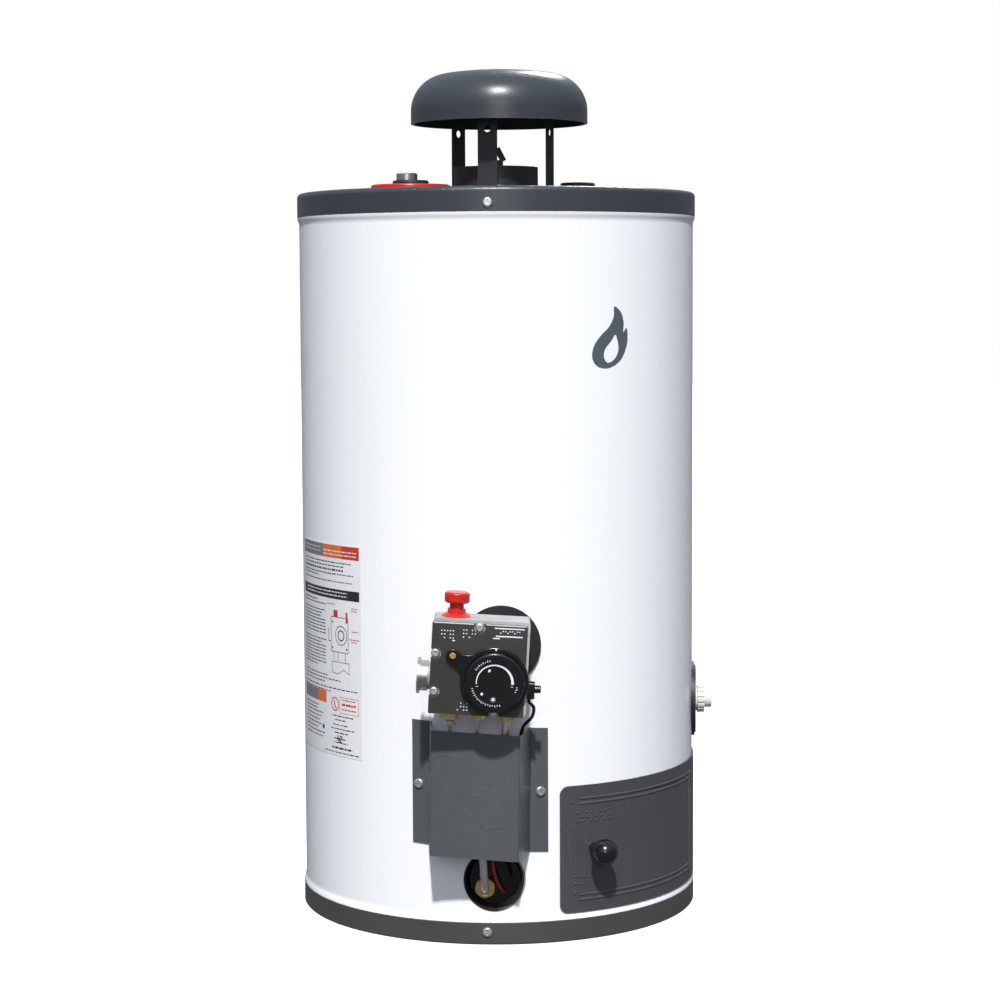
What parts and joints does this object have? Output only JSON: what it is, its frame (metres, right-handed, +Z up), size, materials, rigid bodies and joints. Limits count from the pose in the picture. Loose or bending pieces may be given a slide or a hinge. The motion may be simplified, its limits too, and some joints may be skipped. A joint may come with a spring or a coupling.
{
  "type": "gas storage water heater",
  "caption": "Upright gas storage water heater with a white drum jacket, draught hood, gas control valve with lines to the burner, hinged access door and drain valve.",
  "frame": {"origin": "centre of the base's foot on the floor, on the tank axis", "axes": "+Z up along the tank axis, -Y towards the front with the gas valve, +X to the right seen from the front (drain valve side)"},
  "size_m": [0.4288, 0.4965, 0.8614],
  "materials": {
    "white_enamel": "gloss",
    "dark_enamel": "satin",
    "base_enamel": "satin",
    "cover_enamel": "satin",
    "door_enamel": "satin",
    "zinc_screw": "satin",
    "tank_steel": "matte",
    "leg_enamel": "satin",
    "foam": "matte",
    "glass_wool": "matte",
    "anode_metal": "satin",
    "dip_plastic": "matte",
    "steel_pipe": "satin",
    "red_plastic": "gloss",
    "blue_plastic": "gloss",
    "black_rubber": "matte",
    "burner_steel": "matte",
    "burner_iron": "matte",
    "brass": "satin",
    "tube_aluminium": "satin",
    "copper_lead": "satin",
    "ceramic": "satin",
    "red_silicone": "satin",
    "black_cable": "gloss",
    "valve_cast": "satin",
    "face_black": "satin",
    "black_plastic": "gloss",
    "inlet_aluminium": "satin",
    "white_plastic": "satin",
    "label_film": "matte",
    "hinge_steel": "satin",
    "knob_plastic": "gloss"
  },
  "bodies": {
    "heater": {"anode_plug": "steel_pipe", "anode_rod": "anode_metal", "base_pan": "base_enamel", "burner_bracket": "burner_steel", "burner_cover": "cover_enamel", "burner_head": "burner_iron", "cold_ring": "blue_plastic", "combustion_skirt": "burner_steel", "cover_screws": "zinc_screw", "dial_bezel": "black_plastic", "dip_tube": "dip_plastic", "door_hinge": "hinge_steel", "drain_valve_body": "white_plastic", "escutcheons": "black_rubber", "flue_baffle": "leg_enamel", "flue_collar": "leg_enamel", "flue_tube": "tank_steel", "foam_insulation": "foam", "gas_inlet_fitting": "inlet_aluminium", "glass_wool_blanket": "glass_wool", "hood_legs": "leg_enamel", "hot_ring": "red_plastic", "igniter_cable": "black_cable", "igniter_electrode": "ceramic", "igniter_housing": "black_plastic", "igniter_lead": "red_silicone", "jacket": "white_enamel", "leg_screws": "zinc_screw", "main_gas_tube": "tube_aluminium", "mixing_tube": "burner_steel", "nipple_grommets": "black_rubber", "orifice_nut": "brass", "pilot_bracket": "burner_steel", "pilot_burner": "burner_steel", "pilot_button_guide": "red_plastic", "pilot_tube": "tube_aluminium", "port_sleeve": "burner_steel", "pressure_tap_screw": "brass", "rating_label": "label_film", "rim_screws": "zinc_screw", "tank_bottom_head": "tank_steel", "tank_shell": "tank_steel", "tank_spuds": "tank_steel", "tank_top_head": "tank_steel", "thermocouple": "copper_lead", "thermostat_probe": "steel_pipe", "top_cap": "dark_enamel", "top_insulation": "glass_wool", "tube_nuts": "brass", "valve_body": "valve_cast", "valve_face_plate": "face_black", "valve_screws": "zinc_screw", "vent_hood": "dark_enamel", "water_nipples": "steel_pipe"},
    "dial": {"temperature_dial": "black_plastic"},
    "pilot_knob": {"pilot_button": "red_plastic"},
    "igniter_knob": {"igniter_button": "black_plastic"},
    "drain_ring": {"drain_handle": "white_plastic"},
    "door": {"access_door": "door_enamel"},
    "latch": {"door_knob": "knob_plastic"}
  },
  "joints": [
    {"name": "dial_turn", "type": "hinge", "parent": "heater", "child": "dial", "pos_m": [-0.00322, -0.285, 0.27183], "axis": [0, -1, 0], "range_deg": [-170, 95]},
    {"name": "pilot_press", "type": "slide", "parent": "heater", "child": "pilot_knob", "axis": [-0.0593, 0, -0.9982], "range_m": [0, 0.005], "stiffness_N_per_m": 500, "springref_m": -0.003},
    {"name": "igniter_push", "type": "slide", "parent": "heater", "child": "igniter_knob", "axis": [-0.9982, 0, 0.0593], "range_m": [0, 0.004], "stiffness_N_per_m": 500, "springref_m": -0.003},
    {"name": "drain_turn", "type": "hinge", "parent": "heater", "child": "drain_ring", "pos_m": [0.2125, 0, 0.2077], "axis": [1, 0, 0], "range_deg": [0, 360]},
    {"name": "door_swing", "type": "hinge", "parent": "heater", "child": "door", "pos_m": [0.20406, 0.03232, 0.0905], "axis": [0, 0, 1], "range_deg": [0, 100]},
    {"name": "latch_turn", "type": "hinge", "parent": "door", "child": "latch", "pos_m": [0.09261, -0.18177, 0.091], "axis": [0.454, -0.891, 0], "range_deg": [-90, 0]}
  ]
}
